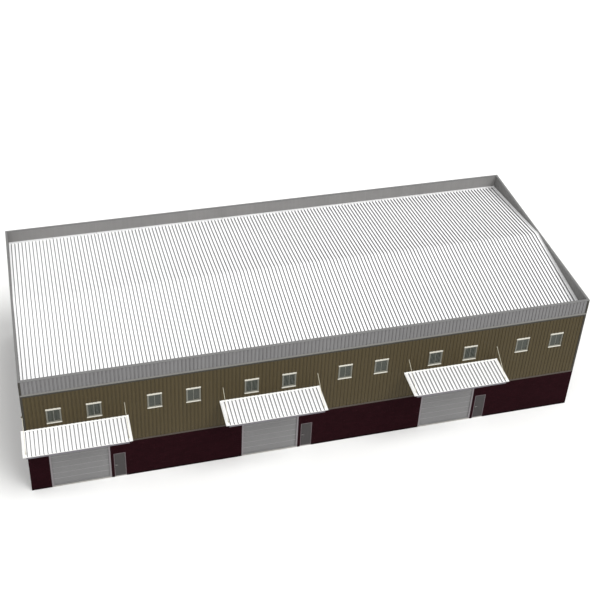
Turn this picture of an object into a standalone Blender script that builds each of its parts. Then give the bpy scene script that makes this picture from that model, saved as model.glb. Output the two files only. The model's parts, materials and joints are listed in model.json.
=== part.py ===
"""Warehouse building: portal-bay shed with a parapet all round, a low gable roof inside it, three
roller shutters, three hinged man doors, twelve windows and three hung canopies on its front.

Metres, +Z up. The origin is at the middle of the footprint, on the ground. The front looks along -Y
and +X runs to the right of someone who faces it.
"""

import math

import bmesh
import bpy
from mathutils import Matrix, Vector

GAP = 0.0003  # between pieces that touch

# Overall form
BAY = 6.5
BAY_COUNT = 6
UNIT = 2 * BAY  # one roller shutter, one man door and one canopy
UNIT_COUNT = BAY_COUNT // 2
LENGTH = BAY * BAY_COUNT
WIDTH = 16.25
HEIGHT = 9.9

# Heights of the bands of the walls
WAINSCOT_TOP = 3.2
SIDING_TOP = 8.62

# Wall thicknesses. Copings and corner trims reach the full length and width.
TRIM = 0.04
RIB = 0.03
WALL = 0.20
PARAPET = 0.12
COPING_DROP = 0.05

# Roof
EAVE_TOP = 8.78
RIDGE_TOP = 9.82
RIDGE_CAP_THICKNESS = 0.02
RIDGE_CAP_REACH = 0.32

# Floor
FLOOR_TOP = 0.10

# Roller shutters, from the left end of each unit
SHUTTER_LEFT = 1.35
SHUTTER_WIDTH = 4.0
SHUTTER_TOP = 4.5
SHUTTER_GUIDE = 0.12
SHUTTER_HOOD = 0.35
SHUTTER_RAIL = 0.12

# Man doors, from the left end of each unit
DOOR_LEFT = 5.55
DOOR_WIDTH = 0.80
DOOR_TOP = 2.24
DOOR_JAMB = 0.045
DOOR_STOP = 0.015
DOOR_SILL = 0.02
LEAF_CLEARANCE = 0.006
LEAF_THICKNESS = 0.045
HANDLE_HEIGHT = 1.08
HANDLE_INSET = 0.07

# Windows, two to a bay
WINDOW_SPREAD = 1.285  # from the middle of the bay to the middle of a window
WINDOW_SILL = 5.92
WINDOW_HEAD = 7.21
WINDOW_WIDTH = 0.90
WINDOW_TRIM_WIDTH = 0.98
WINDOW_TRIM_HEIGHT = 0.105
WINDOW_BAR = 0.05
WINDOW_PANE = 0.012
WINDOW_DEPTH = 0.10
WINDOW_PROUD = 0.03

# Canopies, one bay long with a lap past it at both ends
CANOPY_LAP = 0.21
CANOPY_TOP = 5.58
CANOPY_REACH = 2.18
CANOPY_FALL = 0.09
CANOPY_SHEET = 0.045
CANOPY_BEAM_HEIGHT = 0.17
CANOPY_BEAM_WIDTH = 0.10
CANOPY_ARM_WIDTH = 0.08

# Tie rods of the canopies
ROD_RADIUS = 0.02
ROD_WALL_HEIGHT = 6.84
ROD_REACH = 1.90
ROD_PLATE = 0.14
ROD_PLATE_THICKNESS = 0.045
ROD_LUG = 0.12

# Faces worked out from the above
HALF_LENGTH = LENGTH / 2
HALF_WIDTH = WIDTH / 2
SHEET_X = HALF_LENGTH - TRIM  # outer faces of the wall behind its ribs
SHEET_Y = HALF_WIDTH - TRIM
WAINSCOT_X = SHEET_X + RIB
WAINSCOT_Y = SHEET_Y + RIB
INNER_X = SHEET_X - WALL
INNER_Y = SHEET_Y - WALL
ROOF_X = SHEET_X - PARAPET - GAP
ROOF_Y = SHEET_Y - PARAPET - GAP


def clear_scene():
    for obj in list(bpy.data.objects):
        bpy.data.objects.remove(obj, do_unlink=True)


def new_collection(name, helper=False):
    collection = bpy.data.collections.new(name)
    bpy.context.scene.collection.children.link(collection)
    collection.hide_render = helper
    return collection


def material(name, color, roughness, metallic=0.0):
    made = bpy.data.materials.new(name)
    made.use_nodes = True
    shader = made.node_tree.nodes["Principled BSDF"]
    shader.inputs["Base Color"].default_value = (*color, 1.0)
    shader.inputs["Roughness"].default_value = roughness
    shader.inputs["Metallic"].default_value = metallic
    return made


clear_scene()
BUILDING = new_collection("warehouse_building")
CUTTERS = new_collection("cutters", helper=True)

CONCRETE = material("floor_concrete", (0.42, 0.41, 0.39), 0.9)
MASONRY = material("wainscot_masonry", (0.030, 0.012, 0.014), 0.75)
SIDING = material("olive_siding", (0.090, 0.075, 0.045), 0.5)
BAND = material("grey_parapet_sheet", (0.24, 0.24, 0.24), 0.5)
ROOFING = material("white_roof_sheet", (0.80, 0.80, 0.82), 0.45)
SHUTTER = material("shutter_steel", (0.24, 0.24, 0.24), 0.45)
DOOR_FRAME = material("door_frame_paint", (0.17, 0.13, 0.14), 0.45)
DOOR_LEAF = material("door_leaf_paint", (0.085, 0.080, 0.080), 0.45)
WINDOW = material("window_frame_paint", (0.30, 0.29, 0.25), 0.4)
CANOPY = material("white_canopy_sheet", (0.85, 0.85, 0.86), 0.4)
STEEL = material("canopy_steel_paint", (0.22, 0.21, 0.23), 0.5)
ROD = material("tie_rod_paint", (0.75, 0.72, 0.62), 0.4)


def box(name, low, high):
    """A block from its lowest to its highest corner, not yet in a collection."""
    mesh = bpy.data.meshes.new(name)
    shape = bmesh.new()
    bmesh.ops.create_cube(shape, size=1.0)
    low, high = Vector(low), Vector(high)
    bmesh.ops.scale(shape, vec=high - low, verts=shape.verts)
    bmesh.ops.translate(shape, vec=(low + high) / 2, verts=shape.verts)
    shape.to_mesh(mesh)
    shape.free()
    return bpy.data.objects.new(name, mesh)


def cylinder_between(name, start, end, radius, sides=12):
    """A round bar from one point to another, not yet in a collection."""
    start, end = Vector(start), Vector(end)
    mesh = bpy.data.meshes.new(name)
    shape = bmesh.new()
    bmesh.ops.create_cone(
        shape, cap_ends=True, segments=sides, radius1=radius, radius2=radius, depth=(end - start).length
    )
    turn = (end - start).to_track_quat("Z", "Y").to_matrix().to_4x4()
    bmesh.ops.transform(shape, matrix=Matrix.Translation((start + end) / 2) @ turn, verts=shape.verts)
    shape.to_mesh(mesh)
    shape.free()
    mesh.shade_smooth()
    mesh.set_sharp_from_angle(angle=math.radians(40))
    return bpy.data.objects.new(name, mesh)


def extrusion(name, outline, start_x, end_x):
    """A flat outline of (y, z) points, extruded along X and made a mesh."""
    curve = bpy.data.curves.new(name, "CURVE")
    curve.dimensions = "2D"
    curve.fill_mode = "BOTH"
    curve.extrude = (end_x - start_x) / 2
    spline = curve.splines.new("POLY")
    spline.points.add(len(outline) - 1)
    for point, (y, z) in zip(spline.points, outline):
        point.co = (y, z, 0.0, 1.0)
    spline.use_cyclic_u = True
    guide = bpy.data.objects.new(name + "_outline", curve)
    CUTTERS.objects.link(guide)
    graph = bpy.context.evaluated_depsgraph_get()
    mesh = bpy.data.meshes.new_from_object(guide.evaluated_get(graph))
    bpy.data.objects.remove(guide, do_unlink=True)
    bpy.data.curves.remove(curve)
    shape = bmesh.new()
    shape.from_mesh(mesh)
    bmesh.ops.remove_doubles(shape, verts=shape.verts, dist=0.00001)
    # The outline's X, Y and Z become the building's Y, Z and X.
    turn = Matrix(((0, 0, 1, 0), (1, 0, 0, 0), (0, 1, 0, 0), (0, 0, 0, 1)))
    turn = Matrix.Translation(((start_x + end_x) / 2, 0, 0)) @ turn
    bmesh.ops.transform(shape, matrix=turn, verts=shape.verts)
    bmesh.ops.recalc_face_normals(shape, faces=shape.faces)
    shape.to_mesh(mesh)
    shape.free()
    mesh.name = name
    return bpy.data.objects.new(name, mesh)


def keep(obj, surface):
    """Puts a finished piece into the building with its material."""
    BUILDING.objects.link(obj)
    obj.data.materials.clear()
    obj.data.materials.append(surface)
    return obj


def combine(obj, other, operation):
    """Adds a Boolean with a helper object, which goes with the cutters."""
    CUTTERS.objects.link(other)
    other.hide_render = True
    other.display_type = "WIRE"
    modifier = obj.modifiers.new(f"{operation.lower()}_{other.name}", "BOOLEAN")
    modifier.operation = operation
    modifier.solver = "EXACT"
    modifier.object = other


def cut(obj, other):
    combine(obj, other, "DIFFERENCE")


def join(obj, other):
    combine(obj, other, "UNION")


def unit_start(unit):
    return -HALF_LENGTH + unit * UNIT


def window_centres():
    """Middles of the windows along X, from left to right."""
    middles = [-HALF_LENGTH + (bay + 0.5) * BAY for bay in range(BAY_COUNT)]
    return [middle + side * WINDOW_SPREAD for middle in middles for side in (-1, 1)]


def make_floor():
    """The slab inside the walls, with a tongue through each doorway to the wall's outer face."""
    reach_x, reach_y = INNER_X - GAP, INNER_Y - GAP
    slab = keep(box("floor_slab", (-reach_x, -reach_y, 0), (reach_x, reach_y, FLOOR_TOP)), CONCRETE)
    for unit in range(UNIT_COUNT):
        start = unit_start(unit)
        for kind, left, width in (
            ("shutter", SHUTTER_LEFT, SHUTTER_WIDTH),
            ("door", DOOR_LEFT, DOOR_WIDTH),
        ):
            low = (start + left + GAP, -WAINSCOT_Y, 0)
            high = (start + left + width - GAP, -reach_y + 0.1, FLOOR_TOP)
            join(slab, box(f"{kind}_tongue_{unit + 1}", low, high))


def make_front_wainscot():
    """Stretches of the low wall between doorways, and the piers and lintels beside the man doors."""
    lows = [-WAINSCOT_X] + [unit_start(unit) + DOOR_LEFT + DOOR_WIDTH for unit in range(UNIT_COUNT)]
    highs = [unit_start(unit) + SHUTTER_LEFT for unit in range(UNIT_COUNT)] + [WAINSCOT_X]
    for number, (low, high) in enumerate(zip(lows, highs), 1):
        piece = box(
            f"front_wainscot_{number}", (low, -WAINSCOT_Y, 0), (high, -INNER_Y, WAINSCOT_TOP)
        )
        keep(piece, MASONRY)
    for unit in range(UNIT_COUNT):
        left = unit_start(unit) + SHUTTER_LEFT + SHUTTER_WIDTH
        right = unit_start(unit) + DOOR_LEFT
        end = right + DOOR_WIDTH - GAP
        pier = box(
            f"door_surround_{unit + 1}", (left, -WAINSCOT_Y, 0), (right, -INNER_Y, WAINSCOT_TOP)
        )
        lintel = box(
            f"door_lintel_{unit + 1}",
            (right - 0.05, -WAINSCOT_Y, DOOR_TOP + GAP),
            (end, -INNER_Y, WAINSCOT_TOP),
        )
        join(keep(pier, MASONRY), lintel)


def make_front_siding():
    """The ribbed sheet's backing, with a hole for each window and each shutter's upper part."""
    siding = box(
        "front_siding", (-SHEET_X, -SHEET_Y, WAINSCOT_TOP + GAP), (SHEET_X, -INNER_Y, SIDING_TOP)
    )
    keep(siding, SIDING)
    for number, centre in enumerate(window_centres(), 1):
        half = WINDOW_WIDTH / 2 + GAP
        low = (centre - half, -HALF_WIDTH - 1, WINDOW_SILL + WINDOW_TRIM_HEIGHT - GAP)
        high = (centre + half, -INNER_Y + 1, WINDOW_HEAD - WINDOW_TRIM_HEIGHT + GAP)
        cut(siding, box(f"window_hole_{number:02d}", low, high))
    for unit in range(UNIT_COUNT):
        left = unit_start(unit) + SHUTTER_LEFT
        low = (left, -HALF_WIDTH - 1, WAINSCOT_TOP - 1)
        cut(siding, box(f"shutter_hole_{unit + 1}", low, (left + SHUTTER_WIDTH, 0, SHUTTER_TOP)))


def make_back_walls():
    keep(
        box("back_wainscot", (-WAINSCOT_X, INNER_Y, 0), (WAINSCOT_X, WAINSCOT_Y, WAINSCOT_TOP)), MASONRY
    )
    keep(
        box("back_siding", (-SHEET_X, INNER_Y, WAINSCOT_TOP + GAP), (SHEET_X, SHEET_Y, SIDING_TOP)),
        SIDING,
    )


def make_side_walls():
    """The end walls stand between the front and back walls."""
    reach = INNER_Y - GAP
    for name, side in (("left", -1), ("right", 1)):
        inner = side * INNER_X
        for band, outer, bottom, top, surface in (
            ("wainscot", side * WAINSCOT_X, 0, WAINSCOT_TOP, MASONRY),
            ("siding", side * SHEET_X, WAINSCOT_TOP + GAP, SIDING_TOP, SIDING),
        ):
            low = (min(inner, outer), -reach, bottom)
            high = (max(inner, outer), reach, top)
            keep(box(f"{name}_{band}", low, high), surface)


def parapet_outline(outer):
    """Section of a parapet whose outer face looks along -Y, with its coping's overhang on top."""
    sheet, inner = outer + TRIM, outer + TRIM + PARAPET
    bottom, shoulder = SIDING_TOP + GAP, HEIGHT - COPING_DROP
    return [
        (sheet, bottom),
        (inner, bottom),
        (inner, HEIGHT),
        (outer, HEIGHT),
        (outer, shoulder),
        (sheet, shoulder),
    ]


def make_parapets():
    """Front and back parapets run the full length, with the end ones between them."""
    between = SHEET_Y - PARAPET - GAP
    for name, outer, reach, turn in (
        ("front", -HALF_WIDTH, HALF_LENGTH, 0),
        ("back", -HALF_WIDTH, HALF_LENGTH, math.pi),
        ("left", -HALF_LENGTH, between, -math.pi / 2),
        ("right", -HALF_LENGTH, between, math.pi / 2),
    ):
        parapet = extrusion(f"{name}_parapet", parapet_outline(outer), -reach, reach)
        parapet.data.transform(Matrix.Rotation(turn, 4, "Z"))
        keep(parapet, BAND)


def make_roof():
    """Two slopes that meet along the middle, and the cap that covers their joint."""
    bottom = SIDING_TOP + GAP
    depth = EAVE_TOP - bottom
    reach = ROOF_X
    slope = [
        (-ROOF_Y, bottom),
        (-GAP / 2, RIDGE_TOP - depth),
        (-GAP / 2, RIDGE_TOP),
        (-ROOF_Y, EAVE_TOP),
    ]
    front = extrusion("roof_front_slope", slope, -reach, reach)
    back = extrusion("roof_back_slope", slope, -reach, reach)
    back.data.transform(Matrix.Rotation(math.pi, 4, "Z"))
    keep(front, ROOFING)
    keep(back, ROOFING)
    fall = (RIDGE_TOP - EAVE_TOP) / ROOF_Y * RIDGE_CAP_REACH
    under = RIDGE_TOP + 2 * GAP
    cap = [
        (-RIDGE_CAP_REACH, under - fall),
        (0, under),
        (RIDGE_CAP_REACH, under - fall),
        (RIDGE_CAP_REACH, under - fall + RIDGE_CAP_THICKNESS),
        (0, under + RIDGE_CAP_THICKNESS),
        (-RIDGE_CAP_REACH, under - fall + RIDGE_CAP_THICKNESS),
    ]
    keep(extrusion("roof_ridge_cap", cap, -reach, reach), ROOFING)


def make_roller_door(unit):
    """Guides, hood, curtain and bottom rail of one closed shutter."""
    left = unit_start(unit) + SHUTTER_LEFT + GAP
    right = left + SHUTTER_WIDTH - 2 * GAP
    bottom, top = FLOOR_TOP + GAP, SHUTTER_TOP - GAP
    front, back = -HALF_WIDTH, -HALF_WIDTH + 0.10
    number = unit + 1
    door = box(
        f"roller_door_{number}", (left + 0.02, front + 0.05, bottom), (right - 0.02, front + 0.08, top)
    )
    keep(door, SHUTTER)
    join(door, box(f"left_guide_{number}", (left, front, bottom), (left + SHUTTER_GUIDE, back, top)))
    join(door, box(f"right_guide_{number}", (right - SHUTTER_GUIDE, front, bottom), (right, back, top)))
    inner_left, inner_right = left + SHUTTER_GUIDE - 0.02, right - SHUTTER_GUIDE + 0.02
    hood = (inner_left, front + 0.01, top - SHUTTER_HOOD), (inner_right, back - 0.005, top - 0.005)
    join(door, box(f"hood_{number}", *hood))
    rail = (inner_left, front + 0.035, bottom + 0.005), (inner_right, back - 0.01, bottom + SHUTTER_RAIL)
    join(door, box(f"bottom_rail_{number}", *rail))


def make_door_frame(unit):
    """Jambs, head and sill of one man door, with the rebate that its leaf shuts into."""
    left = unit_start(unit) + DOOR_LEFT + GAP
    right = left + DOOR_WIDTH - 2 * GAP
    bottom, top = FLOOR_TOP + GAP, DOOR_TOP
    frame = box(f"door_frame_{unit + 1}", (left, -HALF_WIDTH, bottom), (right, -INNER_Y, top))
    keep(frame, DOOR_FRAME)
    rebate_low = (left + DOOR_JAMB, -HALF_WIDTH - 1, bottom + DOOR_SILL)
    rebate_high = (
        right - DOOR_JAMB,
        -HALF_WIDTH + LEAF_THICKNESS + LEAF_CLEARANCE,
        top - DOOR_JAMB,
    )
    cut(frame, box(f"door_rebate_{unit + 1}", rebate_low, rebate_high))
    way_low = (left + DOOR_JAMB + DOOR_STOP, -HALF_WIDTH - 1, bottom + DOOR_SILL)
    way_high = (right - DOOR_JAMB - DOOR_STOP, -INNER_Y + 1, top - DOOR_JAMB - DOOR_STOP)
    cut(frame, box(f"door_way_{unit + 1}", way_low, way_high))


def move_origin(obj, point):
    """Puts an object's origin at a point and leaves its shape where it is."""
    obj.data.transform(Matrix.Translation(-Vector(point)))
    obj.location = point


def make_man_door(unit):
    """One leaf with its lever handles. Its origin is on the hinge axis, at the right jamb."""
    left = unit_start(unit) + DOOR_LEFT + GAP + DOOR_JAMB + LEAF_CLEARANCE
    right = unit_start(unit) + DOOR_LEFT + DOOR_WIDTH - GAP - DOOR_JAMB - LEAF_CLEARANCE
    bottom = FLOOR_TOP + GAP + DOOR_SILL + LEAF_CLEARANCE
    top = DOOR_TOP - DOOR_JAMB - LEAF_CLEARANCE
    front = -HALF_WIDTH
    back = front + LEAF_THICKNESS
    hinge = (right + LEAF_CLEARANCE / 2, front - LEAF_CLEARANCE, bottom)
    leaf = keep(box(f"man_door_{unit + 1}", (left, front, bottom), (right, back, top)), DOOR_LEAF)
    spindle_x, spindle_z = left + HANDLE_INSET, FLOOR_TOP + HANDLE_HEIGHT
    spindle = cylinder_between(
        f"handle_spindle_{unit + 1}",
        (spindle_x, front - 0.055, spindle_z),
        (spindle_x, back + 0.055, spindle_z),
        0.011,
    )
    pieces = [spindle]
    for side, y in (("outer", front - 0.05), ("inner", back + 0.05)):
        low = (spindle_x - 0.012, y - 0.009, spindle_z - 0.013)
        high = (spindle_x + 0.125, y + 0.009, spindle_z + 0.009)
        pieces.append(box(f"{side}_lever_{unit + 1}", low, high))
    for piece in pieces:
        join(leaf, piece)
    for piece in [leaf] + pieces:
        move_origin(piece, hinge)


def make_window(number, centre):
    """A two-light window: frame and mullion round thin panes, with a head trim and a sill."""
    half = WINDOW_WIDTH / 2
    front, back = -SHEET_Y - WINDOW_PROUD, -SHEET_Y + WINDOW_DEPTH
    bottom, top = WINDOW_SILL + WINDOW_TRIM_HEIGHT, WINDOW_HEAD - WINDOW_TRIM_HEIGHT
    window = box(f"window_{number:02d}", (centre - half, front, bottom), (centre + half, back, top))
    keep(window, WINDOW)
    pane_y = -SHEET_Y + 0.03
    light = half - 1.5 * WINDOW_BAR
    for side, left in (("left", centre - half + WINDOW_BAR), ("right", centre + WINDOW_BAR / 2)):
        for face, y_low, y_high in (
            ("outer", front - 1, pane_y),
            ("inner", pane_y + WINDOW_PANE, back + 1),
        ):
            low = (left, y_low, bottom + WINDOW_BAR)
            high = (left + light, y_high, top - WINDOW_BAR)
            cut(window, box(f"{face}_{side}_light_{number:02d}", low, high))
    half_trim = WINDOW_TRIM_WIDTH / 2
    for trim, low_z, high_z in (
        ("head", top - 0.005, WINDOW_HEAD),
        ("sill", WINDOW_SILL, bottom + 0.005),
    ):
        low = (centre - half_trim, -HALF_WIDTH, low_z)
        high = (centre + half_trim, -SHEET_Y - GAP, high_z)
        join(window, box(f"window_{trim}_{number:02d}", low, high))


def slope_canopy(obj):
    """Shears a level piece so that it falls away from the wall as the canopy does."""
    fall = CANOPY_FALL / CANOPY_REACH
    shear = Matrix(((1, 0, 0, 0), (0, 1, 0, 0), (0, fall, 1, fall * SHEET_Y), (0, 0, 0, 1)))
    obj.data.transform(shear)


def make_canopy(unit):
    """A ribbed sheet's envelope on a steel frame: front beam, two end arms and a wall rail."""
    left = unit_start(unit)
    right = left + BAY
    wall, edge = -SHEET_Y - GAP, -SHEET_Y - CANOPY_REACH
    under = CANOPY_TOP - CANOPY_SHEET
    number = unit + 1
    sheet = box(
        f"canopy_sheet_{number}", (left - CANOPY_LAP, edge, under), (right + CANOPY_LAP, wall, CANOPY_TOP)
    )
    slope_canopy(sheet)
    keep(sheet, CANOPY)
    bottom = under - CANOPY_BEAM_HEIGHT
    frame = box(f"canopy_frame_{number}", (left, edge + 0.02, bottom), (right, wall, under - GAP))
    inside = box(
        f"canopy_frame_inside_{number}",
        (left + CANOPY_ARM_WIDTH, edge + 0.02 + CANOPY_BEAM_WIDTH, bottom - 1),
        (right - CANOPY_ARM_WIDTH, wall - CANOPY_ARM_WIDTH, under + 1),
    )
    slope_canopy(frame)
    keep(frame, STEEL)
    cut(frame, inside)


def make_tie_rod(unit, side, x):
    """A rod with a plate on the wall and a lug that stands on the canopy's sheet."""
    label = f"{unit + 1}_{side}"
    wall = -SHEET_Y - GAP
    fall = CANOPY_FALL / CANOPY_REACH
    foot_y = -SHEET_Y - ROD_REACH
    foot_z = CANOPY_TOP + GAP - fall * (ROD_REACH - ROD_LUG / 2)
    top = (x, wall - ROD_PLATE_THICKNESS / 2, ROD_WALL_HEIGHT)
    foot = (x, foot_y, foot_z + 0.045)
    rod = keep(cylinder_between(f"tie_rod_{label}", top, foot, ROD_RADIUS), ROD)
    half = ROD_PLATE / 2
    plate_low = (x - half, wall - ROD_PLATE_THICKNESS, ROD_WALL_HEIGHT - half)
    plate_high = (x + half, wall, ROD_WALL_HEIGHT + half)
    join(rod, box(f"rod_plate_{label}", plate_low, plate_high))
    lug_low = (x - 0.03, foot_y - ROD_LUG / 2, foot_z)
    lug_high = (x + 0.03, foot_y + ROD_LUG / 2, foot_z + 0.07)
    join(rod, box(f"rod_lug_{label}", lug_low, lug_high))


def main():
    make_floor()
    make_front_wainscot()
    make_front_siding()
    make_back_walls()
    make_side_walls()
    make_parapets()
    make_roof()
    for number, centre in enumerate(window_centres(), 1):
        make_window(number, centre)
    for unit in range(UNIT_COUNT):
        make_roller_door(unit)
        make_door_frame(unit)
        make_man_door(unit)
        make_canopy(unit)
        make_tie_rod(unit, "left", unit_start(unit))
        make_tie_rod(unit, "right", unit_start(unit) + BAY)


main()
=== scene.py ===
"""Looks of the warehouse building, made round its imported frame.

Metres, +Z up. The front looks along -Y and +X runs to the right of someone who faces it. Each outer
wall is a Side, whose points are (along the wall, height, inset from the building's outermost face).
"""

import itertools
import json
import math

import bpy
import numpy as np
from mathutils import Matrix, Vector


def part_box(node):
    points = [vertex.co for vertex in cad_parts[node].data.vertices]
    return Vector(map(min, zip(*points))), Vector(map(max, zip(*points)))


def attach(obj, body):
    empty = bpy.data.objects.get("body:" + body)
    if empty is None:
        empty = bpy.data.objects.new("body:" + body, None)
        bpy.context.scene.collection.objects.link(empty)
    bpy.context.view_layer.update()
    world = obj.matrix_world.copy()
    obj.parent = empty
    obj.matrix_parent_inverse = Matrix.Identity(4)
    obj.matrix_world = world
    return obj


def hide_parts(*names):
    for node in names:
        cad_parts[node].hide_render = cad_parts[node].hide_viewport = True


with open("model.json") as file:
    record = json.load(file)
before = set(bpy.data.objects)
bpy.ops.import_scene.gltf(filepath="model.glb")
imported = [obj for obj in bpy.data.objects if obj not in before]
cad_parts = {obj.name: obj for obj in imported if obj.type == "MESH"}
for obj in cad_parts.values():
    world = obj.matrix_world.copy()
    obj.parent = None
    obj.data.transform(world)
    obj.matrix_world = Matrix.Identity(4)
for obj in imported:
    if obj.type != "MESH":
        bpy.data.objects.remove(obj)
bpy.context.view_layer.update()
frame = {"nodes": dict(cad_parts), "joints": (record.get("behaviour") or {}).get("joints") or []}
NODES = frame["nodes"]
UNITS = (1, 2, 3)
WINDOWS = tuple(f"window_{number:02d}" for number in range(1, 13))

# Planes and heights of the frame
HALF_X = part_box("front_parapet")[1].x
HALF_Y = -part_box("front_parapet")[0].y
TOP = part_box("front_parapet")[1].z
SHEET = HALF_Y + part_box("front_siding")[0].y  # inset of the siding's backing
WAINSCOT = HALF_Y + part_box("front_wainscot_1")[0].y
WAINSCOT_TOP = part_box("front_wainscot_1")[1].z
SIDING_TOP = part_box("front_siding")[1].z
PARAPET_INNER = HALF_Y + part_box("roof_front_slope")[0].y
EAVE_Y = -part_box("roof_front_slope")[0].y
ROOF_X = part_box("roof_front_slope")[1].x
RIDGE_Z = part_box("roof_front_slope")[1].z
EAVE_Z = max(v.co.z for v in NODES["roof_front_slope"].data.vertices if v.co.y < 0.001 - EAVE_Y)
PITCH_ANGLE = math.atan2(RIDGE_Z - EAVE_Z, EAVE_Y)

# Ribbed sheet
RIB_COUNT = 153  # along the front
RIB_PITCH = 2 * HALF_X / RIB_COUNT
RIBS_A_SHEET = 4
SHEET_CLEARANCE = 0.002  # of a sheet's pans from their backing
SHEET_THICKNESS = 0.0012
THIN_SHEET = 0.001
LAP_STEP = 0.0016
WALL_RIB = dict(height=0.029, foot=0.042, crest=0.016)
ROOF_RIB = dict(height=0.066, foot=0.050, crest=0.020)
CANOPY_RIB = dict(height=0.052, foot=0.046, crest=0.018)
CREST = SHEET - SHEET_CLEARANCE - WALL_RIB["height"] - LAP_STEP  # inset of the siding's crests
SEAM = ((-0.012, 0.0), (-0.010, 0.005), (0.010, 0.005), (0.012, 0.0))  # (across, rise)
TUCK = SHEET - 0.004  # inset of the hidden edge of a flashing
FOLD = 0.004  # length of the facet that softens a fold
# Painted shade: a dark strip in the pan on the -X side of each rib overhead, beside the rib's shaded flank
SHADE_STRIP_WIDTH = 0.056  # of the dark strip on the -X side of a rib overhead
SHADE_STRIP_TONE = 0.20  # of that strip where it meets the rib

# Bands of the walls
BAND_BOTTOM = SIDING_TOP + 0.06
BAND_TRIM_TOP = SIDING_TOP + 0.12
# Bottom of the dark closure strip under the band, whose dark paint also stands in for the band's shade
# (painted shade)
CLOSURE_SHADE_BOTTOM = SIDING_TOP - 0.13
BELT_TOP = WAINSCOT_TOP + 0.12
COPING_DROP = 0.05
CORNER_LEG = 0.15

# Masonry
BLOCK_LENGTH = 0.4
BLOCK_HEIGHT = 0.2
JOINT = 0.009
BLOCK_CHAMFER = 0.0035
BLOCK_RELIEF = 0.0072
TONE_SEED = 7

# Heights of the rows of screws
GIRTS = (3.62, 4.78, 5.66, 7.42, 8.36)
BAND_GIRTS = (8.86, 9.72)
PURLINS = tuple(0.25 + 1.3 * row for row in range(6))  # distances up a slope
JOINT_SPACING = 3.25  # of the long flashings


# ---------------------------------------------------------------- mesh making


class Shape:
    """Points and faces gathered for one mesh, with a tone for each face."""

    def __init__(self):
        self.points = []
        self.faces = []
        self.tones = []

    def add(self, points, faces, tone=0.5):
        start = len(self.points)
        self.points.extend(map(tuple, points))
        self.faces.extend(tuple(start + index for index in face) for face in faces)
        self.tones.extend([tone] * len(faces))

    def loft(self, rings, closed=True, caps=True):
        """A skin over rings, or over lines where it is not closed. Closed ones may have flat ends."""
        count = len(rings[0])
        pairs = [(i, (i + 1) % count) for i in range(count if closed else count - 1)]
        faces = []
        last = (len(rings) - 1) * count
        for low in range(0, last, count):
            high = low + count
            faces += [(low + i, low + j, high + j, high + i) for i, j in pairs]
        if closed and caps:
            faces += [tuple(reversed(range(count))), tuple(range(last, last + count))]
        self.add([point for ring in rings for point in ring], faces)


def chamfered_block():
    """Signs and flags of a block's 24 points, and its 26 faces turned outward.

    Each corner has a point on each of its three sides. Its flag tells which side that is.
    """
    points = [(corner, axis) for corner in itertools.product((-1, 1), repeat=3) for axis in range(3)]
    signs = np.array([corner for corner, _ in points], float)
    flags = np.array([np.eye(3)[axis] for _, axis in points])
    where = signs * (0.8 + 0.2 * flags)
    groups = {}
    for index, (corner, axis) in enumerate(points):
        groups.setdefault(corner, []).append(index)
        groups.setdefault((axis, corner[axis]), []).append(index)
        for other in {0, 1, 2} - {axis}:
            edge = tuple(0 if i not in (axis, other) else sign for i, sign in enumerate(corner))
            groups.setdefault(("edge", edge), []).append(index)
    faces = []
    for group in groups.values():
        centre = where[group].mean(0)
        first = where[group[0]] - centre
        second = np.cross(centre, first) / np.linalg.norm(centre)
        angles = np.arctan2((where[group] - centre) @ second, (where[group] - centre) @ first)
        faces.append(tuple(group[i] for i in np.argsort(angles)))
    return signs, flags, faces


BLOCK_SIGNS, BLOCK_FLAGS, BLOCK_FACES = chamfered_block()


def block(shape, low, high, chamfer=0.002, place=None, tone=0.5):
    """A block with chamfered edges between two corners. place turns its points into the building's."""
    low, high = np.array(low, float), np.array(high, float)
    half = (high - low) / 2
    chamfer = min(chamfer, *(half * 0.45))
    points = (low + high) / 2 + BLOCK_SIGNS * (half - chamfer * (1 - BLOCK_FLAGS))
    shape.add(place(points) if place else points, BLOCK_FACES, tone)


def ring_points(centre, first, second, radius, sides=12, turn=0.0):
    """Points round a circle in the plane of two unit vectors."""
    centre, first, second = np.array(centre, float), np.array(first, float), np.array(second, float)
    angles = [turn + 2 * math.pi * i / sides for i in range(sides)]
    return [centre + radius * (math.cos(a) * first + math.sin(a) * second) for a in angles]


def tube(shape, path, radius, sides=12):
    """A round bar along a path of points, with mitred bends."""
    path = [Vector(point) for point in path]
    ways = [(b - a).normalized() for a, b in zip(path, path[1:])]
    side = ways[0].orthogonal().normalized()
    rings = []
    for index, point in enumerate(path):
        before, after = ways[max(index - 1, 0)], ways[min(index, len(ways) - 1)]
        way = (before + after).normalized()
        side = (side - way * side.dot(way)).normalized()
        stretch = 1 / max(way.dot(after), 0.5)
        rings.append(ring_points(point, side, way.cross(side), radius * (1 + 0.3 * (stretch - 1)), sides))
    shape.loft(rings)


def mesh_of(name, shape, smooth_angle=None):
    mesh = bpy.data.meshes.new(name)
    mesh.from_pydata(shape.points, [], shape.faces)
    tone = mesh.attributes.new("tone", "FLOAT", "FACE")
    tone.data.foreach_set("value", np.array(shape.tones, np.float32))
    if smooth_angle is not None:
        mesh.shade_smooth()
        mesh.set_sharp_from_angle(angle=math.radians(smooth_angle))
    mesh.update()
    return mesh


def piece(name, shape, surface, slot, body="root", replaces=(), at=(0, 0, 0), thickness=None, offset=-1.0,
          smooth_angle=None):
    """Puts a shape, or a mesh that pieces share, in the scene as a piece that rides on a body."""
    mesh = mesh_of(name, shape, smooth_angle) if isinstance(shape, Shape) else shape
    obj = bpy.data.objects.new(name, mesh)
    bpy.context.scene.collection.objects.link(obj)
    obj.location = at
    if not mesh.materials:
        mesh.materials.append(surface)
    if thickness:
        solid = obj.modifiers.new("thickness", "SOLIDIFY")
        solid.thickness = thickness
        solid.offset = offset
    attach(obj, body)
    if replaces:
        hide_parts(*replaces)
    return obj


def sheet(name, shape, surface, slot, thickness=SHEET_THICKNESS, **settings):
    return piece(name, shape, surface, slot, thickness=thickness, **settings)


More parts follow.
